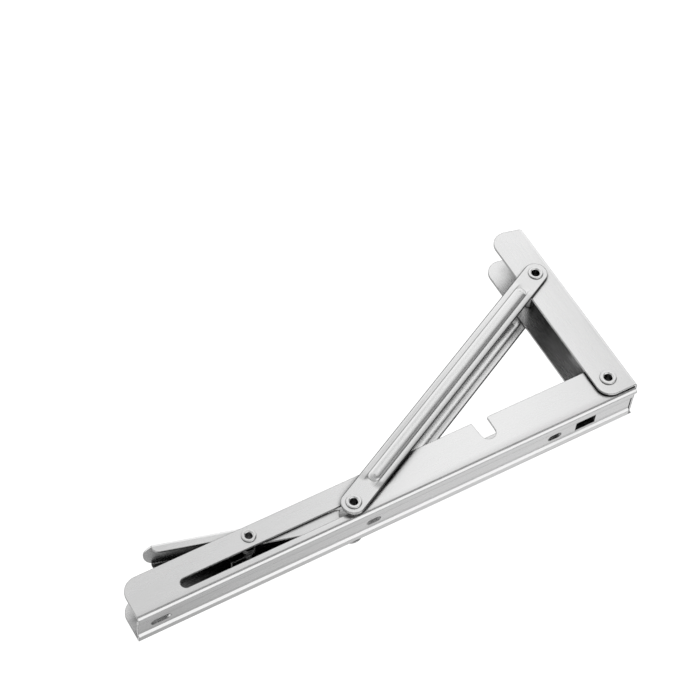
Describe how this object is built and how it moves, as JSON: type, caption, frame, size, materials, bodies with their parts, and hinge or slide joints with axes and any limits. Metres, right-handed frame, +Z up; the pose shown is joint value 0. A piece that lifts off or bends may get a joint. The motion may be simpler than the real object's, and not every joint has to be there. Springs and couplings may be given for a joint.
{
  "type": "folding shelf bracket",
  "caption": "Stainless folding triangle bracket: U-channel wall leg and grooved shelf arm on a hinge, beaded braces on a sliding cross pin, and a sprung release lever.",
  "frame": {"origin": "on the wall face, at the height of the hinge, in the middle of the bracket's width", "axes": "+X away from the wall along the open arm, +Y across the bracket, +Z up"},
  "size_m": [0.4022, 0.0468, 0.1644],
  "materials": {
    "sheet": "polished stainless sheet",
    "rivet": "satin stainless tube",
    "spring_wire": "drawn spring wire"
  },
  "bodies": {
    "wall": {"wall_leg": "sheet", "hinge_rivet": "rivet", "hinge_washer_left": "rivet", "hinge_washer_right": "rivet"},
    "arm": {"shelf_arm": "sheet", "lever_rivet": "rivet", "lever_spring": "spring_wire"},
    "braces": {"brace_left": "sheet", "brace_right": "sheet", "brace_rivet": "rivet", "slide_rivet_left": "rivet", "slide_rivet_right": "rivet"},
    "cross_pin": {"slide_pin": "rivet", "slide_spacer_left": "rivet", "slide_spacer_right": "rivet"},
    "lever": {"release_lever": "sheet"}
  },
  "joints": [
    {"name": "arm_fold", "type": "hinge", "parent": "wall", "child": "arm", "pos_m": [0.0167, 0, 0], "axis": [0, 1, 0], "range_deg": [0, 90]},
    {"name": "brace_swing", "type": "hinge", "parent": "wall", "child": "braces", "pos_m": [0.0148, 0, -0.1019], "axis": [0, 1, 0], "range_deg": [0, 114.53]},
    {"name": "pin_slide", "type": "slide", "parent": "arm", "child": "cross_pin", "axis": [1, 0, 0], "range_m": [0, 0.12923]},
    {"name": "lever_press", "type": "hinge", "parent": "arm", "child": "lever", "pos_m": [0.3072, 0, -0.0056], "axis": [0, -1, 0], "range_deg": [0, 15.3], "stiffness_Nm_per_rad": 0.3, "springref_deg": -20.05, "deforming": ["lever_spring"]}
  ],
  "couplings": [
    {"joint": "brace_swing", "follows": "arm_fold", "ratio": 1.2725},
    {"joint": "pin_slide", "follows": "arm_fold", "m_per_rad": 0.082272}
  ]
}
